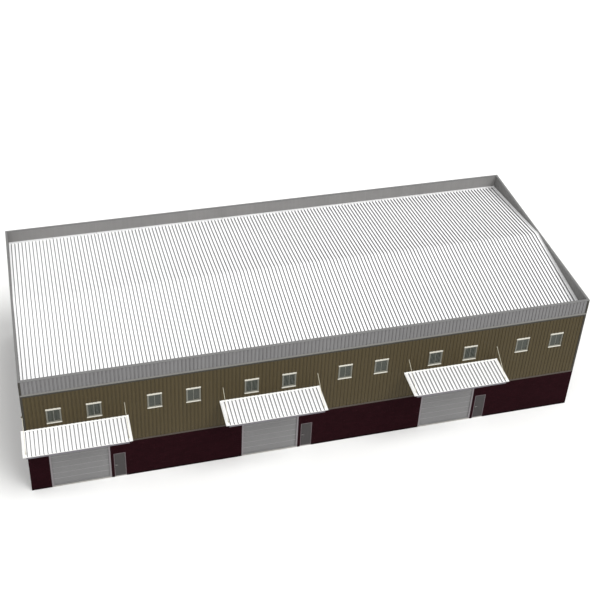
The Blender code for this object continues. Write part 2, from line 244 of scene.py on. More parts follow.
def make_copies(names, places, parts):
    """Makes (name, shape, surface, slot, thickness) parts for nodes that look the same.

    They share their meshes, and the first part stands for the node.
    """
    for number, (part, shape, surface, slot, thickness) in enumerate(parts):
        mesh = mesh_of(part, shape)
        for node, at in zip(names, places):
            piece(f"{node}_{part}", mesh, surface, slot, replaces=() if number else (node,), at=at,
                  thickness=thickness)


# ---------------------------------------------------------------- materials


class Surface:
    """Shorthand for the node tree of one material. Most of its methods give a node's output."""

    def __init__(self, name, metallic=0.0, specular=0.5):
        self.material = bpy.data.materials.new(name)
        self.material.use_nodes = True
        self.tree = self.material.node_tree
        self.shader = self.tree.nodes["Principled BSDF"]
        self.shader.inputs["Metallic"].default_value = metallic
        self.shader.inputs["Specular IOR Level"].default_value = specular
        self.where = self.node("TexCoord", {}, "Object")
        self.x, self.y, self.z = self.node("SeparateXYZ", {0: self.where}, slice(None))

    def put(self, value, socket):
        if isinstance(value, bpy.types.NodeSocket):
            self.tree.links.new(value, socket)
        else:
            socket.default_value = value

    def node(self, kind, inputs, output=0, **settings):
        node = self.tree.nodes.new("ShaderNode" + kind)
        for name, value in settings.items():
            setattr(node, name, value)
        for key, value in inputs.items():
            self.put(value, node.inputs[key])
        return node.outputs[output]

    def math(self, operation, first, second=0.0, third=0.0):
        return self.node("Math", {0: first, 1: second, 2: third}, operation=operation)

    def range(self, value, low, high, to_low=0.0, to_high=1.0, smooth=False):
        inputs = {"Value": value, "From Min": low, "From Max": high, "To Min": to_low, "To Max": to_high}
        kind = "SMOOTHSTEP" if smooth else "LINEAR"
        return self.node("MapRange", inputs, "Result", interpolation_type=kind)

    def stretched(self, x, y, z):
        return self.node("VectorMath", {0: self.where, 1: (x, y, z)}, operation="MULTIPLY")

    def noise(self, scale, vector=None, detail=3.0, roughness=0.55):
        inputs = {"Vector": vector or self.where, "Scale": scale, "Detail": detail, "Roughness": roughness}
        return self.node("TexNoise", inputs, "Fac")

    def lean(self, overhead):
        """How far a rib's flank leans across its sheet, the mask of the painted shade on flanks: either way
        on a wall, towards -X overhead.
        """
        normal = self.node("NewGeometry", {}, "True Normal")
        x, y = self.node("SeparateXYZ", {0: normal}, slice(2))
        if overhead:
            return self.math("MULTIPLY", x, -1.0)
        return self.math("MINIMUM", self.math("ABSOLUTE", x), self.math("ABSOLUTE", y))

    def random(self, value):
        """A number from 0 to 1 for each whole number."""
        return self.node("TexWhiteNoise", {"W": value}, "Value", noise_dimensions="1D")

    def mix(self, factor, first, second):
        """Two colours mixed. The second may be a plain colour."""
        second = (*second, 1.0) if isinstance(second, tuple) else second
        return self.node("Mix", {0: factor, 6: first, 7: second}, 2, data_type="RGBA")

    def toned(self, color, tone):
        """A colour times a tone."""
        return self.node("VectorMath", {0: color, "Scale": tone}, operation="SCALE")

    def tone(self, *changes, start=1.0):
        """A tone round 1: the sum of (strength, number from 0 to 1) pairs, each centred on 0."""
        total = start - sum(strength / 2 for strength, _ in changes)
        for strength, value in changes:
            total = self.math("MULTIPLY_ADD", value, strength, total)
        return total

    def bump(self, height, distance, strength=1.0):
        inputs = {"Strength": strength, "Distance": distance, "Height": height}
        self.put(self.node("Bump", inputs), self.shader.inputs["Normal"])

    def finish(self, color, roughness):
        self.put(color, self.shader.inputs["Base Color"])
        self.put(roughness, self.shader.inputs["Roughness"])
        return self.material


def painted_steel(name, color, roughness=0.45, variation=0.05, streaks=0.05, specular=0.25):
    """Paint on folded steel: slow changes of tone, faint rain streaks and an orange-peel surface."""
    s = Surface(name, specular=specular)
    slow = s.noise(0.6)
    run = s.noise(1.0, s.stretched(9.0, 9.0, 0.7), detail=4.0)
    peel = s.noise(260.0, detail=1.0)
    grime = s.noise(7.0, detail=5.0)
    tone = s.tone((variation, slow), (streaks, run), (variation * 0.6, grime))
    s.bump(peel, 0.0004, 0.35)
    return s.finish(s.toned(color, tone), s.tone((0.14, grime), (0.05, peel), start=roughness))


def ribbed_steel(name, color, roughness=0.45, dust=0.0, flank=0.6, panels=0.05, overhead=None):
    """Paint on ribbed sheet: each sheet's own tone, faint streaks, dust at its foot, painted shade on its
    flanks.

    overhead is the half width of the ribs of a roof sheet, whose side towards -X also gets a painted shade
    strip in the pan.
    """
    s = Surface(name, specular=0.12)
    along = s.math("ADD", s.x, s.y)
    sheet_number = s.math("FLOOR", s.math("DIVIDE", along, RIB_PITCH * RIBS_A_SHEET))
    panel = s.random(sheet_number)
    slow = s.noise(0.35)
    run = s.noise(1.0, s.stretched(7.0, 7.0, 0.35), detail=5.0)
    peel = s.noise(220.0, detail=1.0)
    grime = s.noise(5.0, detail=5.0)
    tone = s.tone((panels, panel), (0.06, slow), (0.07, run), (0.03, grime))
    painted = s.toned(color, tone)
    if dust:
        low = s.range(s.z, WAINSCOT_TOP + 1.4, WAINSCOT_TOP, 0.0, dust, smooth=True)
        painted = s.mix(s.math("MULTIPLY", low, grime), painted, (0.20, 0.17, 0.12))
    # Painted shade: rib flanks darkened to the tone flank by how far they lean, and overhead also a dark
    # strip of pan on each rib's -X side.
    painted_shade = s.range(s.lean(overhead), 0.50, 0.60, 1.0, flank)
    if overhead:
        place = s.math("FRACT", s.math("DIVIDE", s.math("ADD", s.x, HALF_X), RIB_PITCH))
        beside = s.math("MULTIPLY", s.math("SUBTRACT", 0.5, place), RIB_PITCH)
        pan = s.range(beside, overhead, overhead + SHADE_STRIP_WIDTH, SHADE_STRIP_TONE, 1.0)
        painted_shade = s.math("MULTIPLY", painted_shade, s.math("MAXIMUM", pan, s.math("LESS_THAN", beside, overhead - 0.01)))
    painted = s.toned(painted, s.math("MULTIPLY", painted_shade, s.tone((0.10, run))))
    s.bump(peel, 0.0004, 0.3)
    return s.finish(painted, s.tone((0.16, grime), (0.05, peel), start=roughness))


def masonry():
    """Dark maroon masonry paint on blocks: each block's own tone, a sanded grain, a darker foot."""
    s = Surface("wainscot_masonry", specular=0.03)
    own = s.tree.nodes.new("ShaderNodeAttribute")
    own.attribute_name = "tone"
    grain = s.noise(130.0, detail=6.0, roughness=0.7)
    pits = s.noise(38.0, detail=4.0)
    slow = s.noise(0.8)
    tone = s.tone((0.22, own.outputs["Fac"]), (0.22, pits), (0.16, slow))
    painted = s.toned((0.0150, 0.0030, 0.0048), tone)
    # Darker towards the ground, fading out by about 0.3 m up
    dark_foot = s.range(s.math("MULTIPLY_ADD", pits, 0.10, s.z), 0.04, 0.30, 0.75, 0.0, smooth=True)
    painted = s.mix(dark_foot, painted, (0.004, 0.003, 0.003))
    s.bump(s.math("ADD", grain, pits), 0.0016, 0.6)
    return s.finish(painted, s.tone((0.15, grain), start=0.78))


def mortar():
    """The same paint over the joints and the inner faces of the blocks."""
    s = Surface("painted_mortar", specular=0.03)
    grain = s.noise(160.0, detail=5.0, roughness=0.7)
    slow = s.noise(1.5)
    inside_x = s.math("LESS_THAN", s.math("ABSOLUTE", s.x), HALF_X - 0.1)
    inside_y = s.math("LESS_THAN", s.math("ABSOLUTE", s.y), HALF_Y - 0.1)
    inside = s.math("MULTIPLY", inside_x, inside_y)
    tone = s.tone((0.25, grain), (0.2, slow))
    outer = s.toned((0.0105, 0.0035, 0.0045), tone)
    inner = s.toned((0.42, 0.41, 0.38), tone)
    s.bump(grain, 0.001, 0.5)
    return s.finish(s.mix(inside, outer, inner), s.tone((0.1, grain), start=0.85))


def liner():
    """Off-white lining of the inner walls, with shallow joints one metre apart."""
    s = Surface("inner_liner", specular=0.3)
    along = s.math("ADD", s.x, s.y)
    place = s.math("ABSOLUTE", s.math("SUBTRACT", s.math("FRACT", along), 0.5))
    seam = s.range(place, 0.008, 0.014)
    slow = s.noise(0.5)
    fine = s.noise(30.0, detail=4.0)
    tone = s.math("MULTIPLY", s.tone((0.08, slow), (0.05, fine)), s.range(seam, 0.0, 1.0, 0.55, 1.0))
    s.bump(seam, 0.004)
    return s.finish(s.toned((0.50, 0.50, 0.47), tone), s.tone((0.15, fine), start=0.5))


def concrete():
    """Power-floated concrete with saw cuts at the bays."""
    s = Surface("floor_concrete", specular=0.3)
    cloud = s.noise(0.9, detail=6.0, roughness=0.65)
    fine = s.noise(45.0, detail=5.0)
    pores = s.noise(240.0, detail=2.0)
    cut_x = s.math("PINGPONG", s.math("ADD", s.x, HALF_X), HALF_X / 6)
    cut_y = s.math("PINGPONG", s.y, HALF_Y / 2)
    cut = s.range(s.math("MINIMUM", cut_x, cut_y), 0.003, 0.006)
    clouds = s.tone((0.25, cloud), (0.12, fine), (0.08, pores))
    tone = s.math("MULTIPLY", clouds, s.range(cut, 0.0, 1.0, 0.4, 1.0))
    s.bump(s.math("ADD", cut, s.math("MULTIPLY", pores, 0.1)), 0.003, 0.6)
    return s.finish(s.toned((0.36, 0.35, 0.33), tone), s.tone((0.2, cloud), (0.15, fine), start=0.7))


def tinted_glass():
    """Grey tinted panes that mirror a little, with a faint film of dust."""
    s = Surface("window_glass", specular=0.35)
    cloud = s.noise(1.8, detail=3.0)
    film = s.noise(22.0, detail=5.0)
    tone = s.tone((0.35, cloud), (0.12, film))
    s.shader.inputs["Coat Weight"].default_value = 0.2
    s.shader.inputs["Coat Roughness"].default_value = 0.04
    s.bump(s.noise(2.2, detail=1.0), 0.002, 0.25)
    return s.finish(s.toned((0.033, 0.038, 0.028), tone), s.tone((0.10, film), start=0.13))


def brushed_steel(name, color, roughness=0.32):
    s = Surface(name, metallic=1.0)
    brush = s.noise(1.0, s.stretched(600.0, 40.0, 40.0), detail=2.0)
    stain = s.noise(18.0, detail=4.0)
    s.bump(brush, 0.0002, 0.3)
    tone = s.tone((0.12, brush), (0.1, stain))
    return s.finish(s.toned(color, tone), s.tone((0.15, brush), (0.1, stain), start=roughness))


def rubber():
    s = Surface("seal_rubber", specular=0.25)
    fine = s.noise(90.0, detail=4.0)
    s.bump(fine, 0.0005, 0.4)
    return s.finish(s.toned((0.014, 0.014, 0.014), s.tone((0.3, fine))), s.tone((0.2, fine), start=0.7))


def floor_paint():
    s = Surface("studio_floor", specular=0.1)
    fine = s.noise(0.2, detail=4.0)
    return s.finish(s.toned((0.92, 0.92, 0.91), s.tone((0.015, fine))), s.tone((0.1, fine), start=0.9))


# flank is the tone of the painted shade on the rib flanks; overhead adds the painted shade strip beside the
# ribs of roof and canopies
SIDING_PAINT = ribbed_steel("olive_siding", (0.069, 0.0525, 0.0245), dust=0.05, flank=0.45)
BAND_PAINT = ribbed_steel("grey_parapet_sheet", (0.195, 0.192, 0.194), flank=0.35)
ROOF_PAINT = ribbed_steel("white_roof_sheet", (0.93, 0.93, 0.935), flank=0.035, panels=0.02,
                          overhead=ROOF_RIB["foot"])
PARAPET_BACK = ribbed_steel("parapet_back_sheet", (0.245, 0.240, 0.235), roughness=0.5, flank=0.8)
# A darker copy of the parapet back paint for the end parapets' inner sheets: painted shade
PARAPET_END_SHADED = ribbed_steel("parapet_end_sheet_painted_shade", (0.180, 0.178, 0.174), roughness=0.5, flank=0.6)
CANOPY_PAINT = ribbed_steel("white_canopy_sheet", (0.93, 0.93, 0.935), flank=0.035, panels=0.02,
                            overhead=CANOPY_RIB["foot"])
CANOPY_TRIM = painted_steel("white_canopy_trim", (0.86, 0.86, 0.84), variation=0.03)
COPING_PAINT = painted_steel("coping_sheet", (0.175, 0.174, 0.172))
LIGHT_FLASHING = painted_steel("light_flashing", (0.180, 0.176, 0.165))
BELT_FLASHING = painted_steel("belt_flashing", (0.062, 0.049, 0.038))
DARK_TRIM = painted_steel("dark_trim", (0.034, 0.031, 0.024))
SHUTTER_PAINT = painted_steel("shutter_steel", (0.195, 0.193, 0.194), streaks=0.07)
GUIDE_PAINT = painted_steel("shutter_guide_steel", (0.225, 0.207, 0.217))
# A lighter copy of the shutter steel for the curtain's lips: painted highlight where light catches their
# ledges
LIP_HIGHLIGHT_PAINT = painted_steel("shutter_lip_painted_highlight", (0.330, 0.325, 0.326))
DOOR_FRAME_PAINT = painted_steel("door_frame_paint", (0.120, 0.098, 0.106))
DOOR_PAINT = painted_steel("door_leaf_paint", (0.052, 0.048, 0.048), specular=0.15)
HINGE_PAINT = painted_steel("hinge_paint", (0.095, 0.082, 0.086))
FRAME_PAINT = painted_steel("window_frame_paint", (0.170, 0.168, 0.142))
WINDOW_TRIM = painted_steel("window_trim_paint", (0.60, 0.58, 0.51), variation=0.03)
BEAM_PAINT = painted_steel("canopy_steel_paint", (0.150, 0.140, 0.160))
ROD_PAINT = painted_steel("tie_rod_paint", (0.60, 0.57, 0.46), variation=0.04)
PLATE_PAINT = painted_steel("wall_plate_paint", (0.074, 0.056, 0.024))
SCREW_PAINT = painted_steel("screw_paint", (0.12, 0.11, 0.09), roughness=0.4)
WHITE_SCREW = painted_steel("white_screw_paint", (0.62, 0.62, 0.62), roughness=0.4)
ROOF_FLASHING = painted_steel("roof_flashing_paint", (0.80, 0.80, 0.80))
STEEL = brushed_steel("door_hardware", (0.30, 0.29, 0.28))
BLOCKS = masonry()
MORTAR = mortar()
LINER = liner()
CONCRETE = concrete()
GLASS = tinted_glass()
RUBBER = rubber()


def repaint(names, surface):
    for name in names:
        NODES[name].data.materials.clear()
        NODES[name].data.materials.append(surface)


# ---------------------------------------------------------------- walls


class Side:
    """One outer wall. Its points are (along, height, inset from the outermost face)."""

    def __init__(self, name, turn, half, out):
        self.name = name
        self.half = half
        self.out = out
        cosine, sine = round(math.cos(turn)), round(math.sin(turn))
        self.along = np.array((cosine, sine, 0.0))
        self.outward = np.array((sine, -cosine, 0.0))

    def place(self, points):
        along, height, inset = np.asarray(points, float).reshape(-1, 3).T
        up = np.array((0.0, 0.0, 1.0))
        return (
            np.outer(along, self.along) + np.outer(self.out - inset, self.outward) + np.outer(height, up)
        )

    def block(self, shape, along, height, inset, chamfer=0.002, tone=0.5):
        """A chamfered block between pairs of places along the wall, heights and insets."""
        low, high = zip(sorted(along), sorted(height), sorted(-depth for depth in inset))
        block(shape, low, high, chamfer, self.place_outward, tone)

    def place_outward(self, points):
        """Like place, for points whose third number grows outward, so that faces keep looking outward."""
        return self.place(points * (1, 1, -1))


FRONT = Side("front", 0.0, HALF_X, HALF_Y)
RIGHT = Side("right", math.pi / 2, HALF_Y, HALF_X)
BACK = Side("back", math.pi, HALF_X, HALF_Y)
LEFT = Side("left", -math.pi / 2, HALF_Y, HALF_X)
SIDES = (FRONT, RIGHT, BACK, LEFT)


def opening(node):
    """(left, right, bottom, top) of a node on the front."""
    low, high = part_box(node)
    return low.x, high.x, low.z, high.z


SHUTTER_BOXES = [opening(f"roller_door_{unit}") for unit in UNITS]
DOOR_BOXES = [opening(f"door_frame_{unit}") for unit in UNITS]
WINDOW_BOXES = [opening(name) for name in WINDOWS]


def softened(points, radius):
    """Two points for each inner corner of a line of points, so that its folds are narrow facets."""
    made = [points[0]]
    for before, corner, after in zip(points, points[1:], points[2:]):
        for other in (before, after):
            way = np.subtract(other, corner)
            length = np.hypot(*way)
            made.append(tuple(np.add(corner, way / length * min(radius, length * 0.4))))
    return made + [points[-1]]


def rib_line(low, high, rib, count=None):
    """(across, rise) points of a ribbed sheet between two ends, with ribs on the building's rib grid."""
    foot, crest, height = rib["foot"], rib["crest"], rib["height"]
    half = count * RIB_PITCH / 2 if count else HALF_X
    number = round(2 * half / RIB_PITCH)
    pitch = 2 * half / number
    line = [(low, 0.0)]
    for index in range(number):
        middle = -half + (index + 0.5) * pitch
        if middle - foot < low + 0.01 or middle + foot > high - 0.01:
            continue
        rib_points = softened(
            [(middle - foot - 0.02, 0.0), (middle - foot, 0.0), (middle - crest, height),
             (middle + crest, height), (middle + foot, 0.0), (middle + foot + 0.02, 0.0)], FOLD
        )[1:-1]
        if index % RIBS_A_SHEET == 0:
            half_way = len(rib_points) // 2
            rib_points = (
                rib_points[:half_way]
                + [(middle, height), (middle + 0.0002, height + LAP_STEP)]
                + [(x, rise + LAP_STEP) for x, rise in rib_points[half_way:]]
                + [(middle + foot + 0.016, LAP_STEP), (middle + foot + 0.0162, 0.0)]
            )
        line += rib_points
        for swage in (0.36, 0.64):
            centre = middle + pitch * swage
            if centre + 0.02 < high and centre > low:
                line += [(centre - 0.014, 0.0), (centre - 0.008, 0.0028), (centre + 0.008, 0.0028),
                         (centre + 0.014, 0.0)]
    return line + [(high, 0.0)]


def with_stops(line, stops):
    """The line with a point at each stop, so that a sheet can be cut there."""
    across = np.array([x for x, _ in line])
    rise = np.array([r for _, r in line])
    extra = [(stop, float(np.interp(stop, across, rise))) for stop in stops if across[0] < stop < across[-1]]
    return sorted(line + extra, key=lambda point: point[0])


def ribbed_sheet(line, levels, place, holes=()):
    """A ribbed surface over a line of ribs and a row of levels, cut at (left, right, bottom, top) holes."""
    line = with_stops(line, [stop for hole in holes for stop in hole[:2]])
    levels = sorted(set(levels) | {level for hole in holes for level in hole[2:]})
    width, height = len(line), len(levels)
    points = np.array([(x, level, rise) for level in levels for x, rise in line])
    faces = []
    for row in range(height - 1):
        middle_z = (levels[row] + levels[row + 1]) / 2
        cut = [hole for hole in holes if hole[2] < middle_z < hole[3]]
        for column in range(width - 1):
            middle_x = (line[column][0] + line[column + 1][0]) / 2
            if any(left < middle_x < right for left, right, _, _ in cut):
                continue
            first = row * width + column
            faces.append((first, first + 1, first + width + 1, first + width))
    used = np.unique([index for face in faces for index in face])
    number = np.full(len(points), -1)
    number[used] = np.arange(len(used))
    shape = Shape()
    shape.add(place(points[used]), [tuple(number[list(face)]) for face in faces])
    return shape


def wall_place(side, inset):
    """Turns (along, height, rise) points into the building's, on a wall's sheet plane."""
    return lambda points: side.place(points * (1, 1, -1) + (0, 0, inset))


def screw(shape, centre, outward, across, radius=0.009):
    """A hexagon head on a domed washer."""
    centre, outward, across = (np.array(v, float) for v in (centre, outward, across))
    other = np.cross(outward, across)
    for sides, profile in ((8, ((0.0, 1.0), (0.0016, 0.86))), (6, ((0.0014, 0.6), (0.0062, 0.56)))):
        rings = [
            ring_points(centre + outward * up, across, other, radius * share, sides) for up, share in profile
        ]
        shape.loft(rings, caps=False)
        shape.add(rings[1], [tuple(range(sides))])


def blocked(x, z, boxes, margin=0.05):
    return any(l - margin < x < r + margin and b - margin < z < t + margin for l, r, b, t in boxes)


def rib_count(side):
    return round(2 * side.half / RIB_PITCH)


def make_wall_sheets():
    """Ribbed siding and parapet band of every side, with their rows of screws."""
    pan = SHEET - SHEET_CLEARANCE
    front_boxes = WINDOW_BOXES + SHUTTER_BOXES + [opening(f"canopy_sheet_{unit}") for unit in UNITS]
    front_holes = [(l + 0.03, r - 0.03, b + 0.03, t - 0.03) for l, r, b, t in WINDOW_BOXES]
    front_holes += [(l, r, WAINSCOT_TOP, t) for l, r, _, t in SHUTTER_BOXES]
    for side in SIDES:
        count = rib_count(side)
        line = rib_line(-side.half + 0.05, side.half - 0.05, WALL_RIB, count)
        holes, keep_off = (front_holes, front_boxes) if side is FRONT else ((), ())
        for part, levels, cut, surface, slot in (
            ("siding", (WAINSCOT_TOP + 0.02, SIDING_TOP - 0.02), holes, SIDING_PAINT, "olive_siding"),
            ("parapet", (BAND_BOTTOM, TOP - 0.03), (), BAND_PAINT, "grey_parapet_sheet"),
        ):
            shape = ribbed_sheet(line, levels, wall_place(side, pan), cut)
            sheet(f"{side.name}_{part}_sheet", shape, surface, slot)
        screws = Shape()
        pitch = 2 * side.half / count
        for index in range(count - 1):
            along = -side.half + (index + 1.26) * pitch - pitch / 2
            for height in GIRTS + BAND_GIRTS:
                if abs(along) < side.half - CORNER_LEG and not blocked(along, height, keep_off):
                    screw(screws, side.place((along, height, pan))[0], side.outward, side.along)
        piece(f"{side.name}_wall_screws", screws, SCREW_PAINT, "dark_trim")


def spans(low, high, gaps):
    """What is left of a stretch when the gaps are taken out."""
    left = [(low, high)]
    for gap_low, gap_high in gaps:
        left = [
            part
            for start, end in left
            for part in ((start, min(end, gap_low)), (max(start, gap_high), end))
            if part[1] - part[0] > 0.01
        ]
    return left


def block_course(shape, side, start, end, bottom, top, shift, random):
    """One course of blocks in a running bond."""
    edges = [start]
    step = math.floor((start + side.half - shift) / BLOCK_LENGTH) + 1
    joint = step * BLOCK_LENGTH + shift - side.half
    while joint < end - 0.06:
        if joint > start + 0.06:
            edges.append(joint)
        joint += BLOCK_LENGTH
    edges.append(end)
    gap = JOINT / 2
    low, high = bottom + gap, top - gap
    for left, right in zip(edges, edges[1:]):
        left, right = left + gap, right - gap
        back, face = WAINSCOT + 0.001, WAINSCOT - BLOCK_RELIEF
        points = []
        for inset, margin in ((back, 0.0), (face + 0.002, 0.0), (face, BLOCK_CHAMFER)):
            l, r, b, t = left + margin, right - margin, low + margin, high - margin
            points += [(l, b, inset), (r, b, inset), (r, t, inset), (l, t, inset)]
        faces = [(8, 9, 10, 11)]
        faces += [(f + i, f + (i + 1) % 4, f + 4 + (i + 1) % 4, f + 4 + i) for f in (0, 4) for i in range(4)]
        shape.add(side.place(points), faces, float(random.random()))


def make_masonry():
    """Block courses of the low walls, cut round the shutters and the man doors."""
    random = np.random.default_rng(TONE_SEED)
    courses = round(WAINSCOT_TOP / BLOCK_HEIGHT)
    for side in SIDES:
        shape = Shape()
        reach = side.half - WAINSCOT + (BLOCK_RELIEF if side in (FRONT, BACK) else 0.0)
        for course in range(courses):
            bottom, top = course * BLOCK_HEIGHT, (course + 1) * BLOCK_HEIGHT
            gaps = []
            if side is FRONT:
                gaps = [(l, r) for l, r, _, t in SHUTTER_BOXES + DOOR_BOXES if bottom < t - 0.05]
            for start, end in spans(-reach, reach, gaps):
                block_course(shape, side, start, end, bottom, top, course % 2 * BLOCK_LENGTH / 2, random)
        piece(f"{side.name}_wainscot_blocks", shape, BLOCKS, "wainscot_masonry")


def folded_run(shape, side, start, end, profile, mitred=(False, False)):
    """A folded strip along a wall. Its profile is (inset, height) points from top to bottom."""
    ends = []
    for place, mitre, sign in ((start, mitred[0], 1), (end, mitred[1], -1)):
        ends.append([(place + sign * inset if mitre else place, height, inset) for inset, height in profile])
    shape.loft([side.place(end_points) for end_points in ends], closed=False)


def make_ring(name, profile, surface, slot, gaps=()):
    """A folded strip right round the building, with gaps on the front, and its joint covers."""
    shape = Shape()
    covers = Shape()
    for side in SIDES:
        parts = spans(-side.half, side.half, gaps if side is FRONT else ())
        for start, end in parts:
            mitred = (start == -side.half, end == side.half)
            folded_run(shape, side, start, end, profile, mitred)
        joint = -side.half + JOINT_SPACING
        while joint < side.half - 1:
            if any(start + 0.1 < joint < end - 0.1 for start, end in parts):
                proud = [(inset - SHEET_THICKNESS, height) for inset, height in profile]
                folded_run(covers, side, joint - 0.05, joint + 0.05, proud)
            joint += JOINT_SPACING
    sheet(name, shape, surface, slot)
    sheet(f"{name}_joints", covers, surface, slot)


def make_flashings():
    """Belt over the wainscot, dark closure (its dark paint partly a painted shade) and light drip under the
    band, and the coping.
    """
    shutter_gaps = [(l - 0.002, r + 0.002) for l, r, _, _ in SHUTTER_BOXES]
    belt = [
        (TUCK, BELT_TOP + 0.012), (0.0062, BELT_TOP), (0.0062, WAINSCOT_TOP + 0.045),
        (0.0012, WAINSCOT_TOP + 0.012), (0.0032, WAINSCOT_TOP + 0.002), (WAINSCOT, WAINSCOT_TOP + 0.006),
    ]
    make_ring("siding_foot_flashing", belt, BELT_FLASHING, "light_flashing", shutter_gaps)
    # Dark closure strip under the drip trim: a closure whose dark paint also serves as painted shade under
    # the band
    closure = [(TUCK, SIDING_TOP), (0.0072, SIDING_TOP), (0.0072, CLOSURE_SHADE_BOTTOM),
               (0.012, CLOSURE_SHADE_BOTTOM - 0.003)]
    make_ring("siding_head_closure_and_shade", closure, DARK_TRIM, "dark_trim")
    drip = [
        (TUCK, BAND_TRIM_TOP + 0.012), (0.0058, BAND_TRIM_TOP), (0.0058, SIDING_TOP + 0.035),
        (0.0014, SIDING_TOP + 0.004), (0.0034, SIDING_TOP - 0.004), (0.007, SIDING_TOP - 0.002),
    ]
    make_ring("parapet_drip_trim", drip, LIGHT_FLASHING, "light_flashing")
    edge = TOP - 0.0025
    coping = [
        (PARAPET_INNER - 0.006, TOP - COPING_DROP - 0.012), (PARAPET_INNER + 0.0016, TOP - COPING_DROP),
        (PARAPET_INNER + 0.0016, edge - 0.004), (PARAPET_INNER - 0.0022, edge - 0.0005),
        (0.0052, edge), (0.0024, edge - 0.003), (0.0024, TOP - COPING_DROP + 0.004),
        (0.0014, TOP - COPING_DROP - 0.004), (0.008, TOP - COPING_DROP - 0.012),
    ]
    make_ring("parapet_coping", coping, COPING_PAINT, "coping_sheet")


def make_corner_trims():
    """Folded dark trims over the corners of the siding and the band."""
    shape = Shape()
    proud = 0.0045
    leg = ((CORNER_LEG, TUCK), (CORNER_LEG - 0.006, proud), (proud + 0.004, proud))
    heights = ((BELT_TOP - 0.01, CLOSURE_SHADE_BOTTOM + 0.01), (BAND_TRIM_TOP - 0.01, TOP - COPING_DROP + 0.004))
    for index, side in enumerate(SIDES):
        after = SIDES[(index + 1) % 4]
        for ends in heights:
            shape.loft([
                [side.place((side.half - along, height, inset))[0] for along, inset in leg]
                + [after.place((along - after.half, height, inset))[0] for along, inset in reversed(leg)]
                for height in ends
            ], closed=False)
    sheet("corner_trims", shape, DARK_TRIM, "dark_trim")


def make_parapet_cores():
    """Solid cores behind the band's sheets."""
    inner, top, step, foot = PARAPET_INNER - 0.003, TOP - 0.008, TOP - COPING_DROP + 0.002, SIDING_TOP + 0.001
    section = [(SHEET, foot), (inner, foot), (inner, top), (0.008, top), (0.008, step), (SHEET, step)]
    for side in SIDES:
        end = side.half - (0.008 if side in (FRONT, BACK) else PARAPET_INNER)
        core = Shape()
        rings = [side.place([(along, height, inset) for inset, height in section]) for along in (-end, end)]
        core.loft(rings)
        name = f"{side.name}_parapet"
        piece(f"{name}_core", core, PARAPET_BACK, "grey_parapet_sheet", replaces=(name,))


def make_parapet_backs():
    """Sheets on the inner faces: flat trays with standing seams along the eaves, ribs at the ends."""
    levels = (EAVE_Z - 0.02, TOP - COPING_DROP + 0.01)
    low_rib = dict(height=0.012, foot=0.03, crest=0.014)
    for side in SIDES:
        reach = side.half - PARAPET_INNER
        if side in (FRONT, BACK):
            line = [(-reach, 0.0)]
            count = round(2 * reach / JOINT_SPACING)
            for index in range(1, count):
                seam = -reach + index * 2 * reach / count
                line += [(seam + across, rise) for across, rise in SEAM]
            line += [(reach, 0.0)]
            surface = PARAPET_BACK
        else:
            line = rib_line(-reach + 0.01, reach - 0.01, low_rib, rib_count(side))
            # The ends take the darker copy of the parapet paint, a painted shade
            surface = PARAPET_END_SHADED

        def place(points):
            return side.place(points * (-1, 1, 1) + (0, 0, PARAPET_INNER - 0.0015))

        shape = ribbed_sheet(line, levels, place)
        sheet(f"{side.name}_parapet_back", shape, surface, "grey_parapet_sheet", thickness=0.0008)


# ---------------------------------------------------------------- roof


def slope_place(turn):
    """Turns (across, distance up from the eave, rise) points into a slope's: the front's, or turn -1's."""
    cosine, sine = math.cos(PITCH_ANGLE), math.sin(PITCH_ANGLE)

    def place(points):
        across, up, rise = points.T
        rise = rise + SHEET_CLEARANCE
        y = -EAVE_Y + up * cosine - rise * sine
        z = EAVE_Z + up * sine + rise * cosine
        return np.column_stack((turn * across, turn * y, z))

    return place


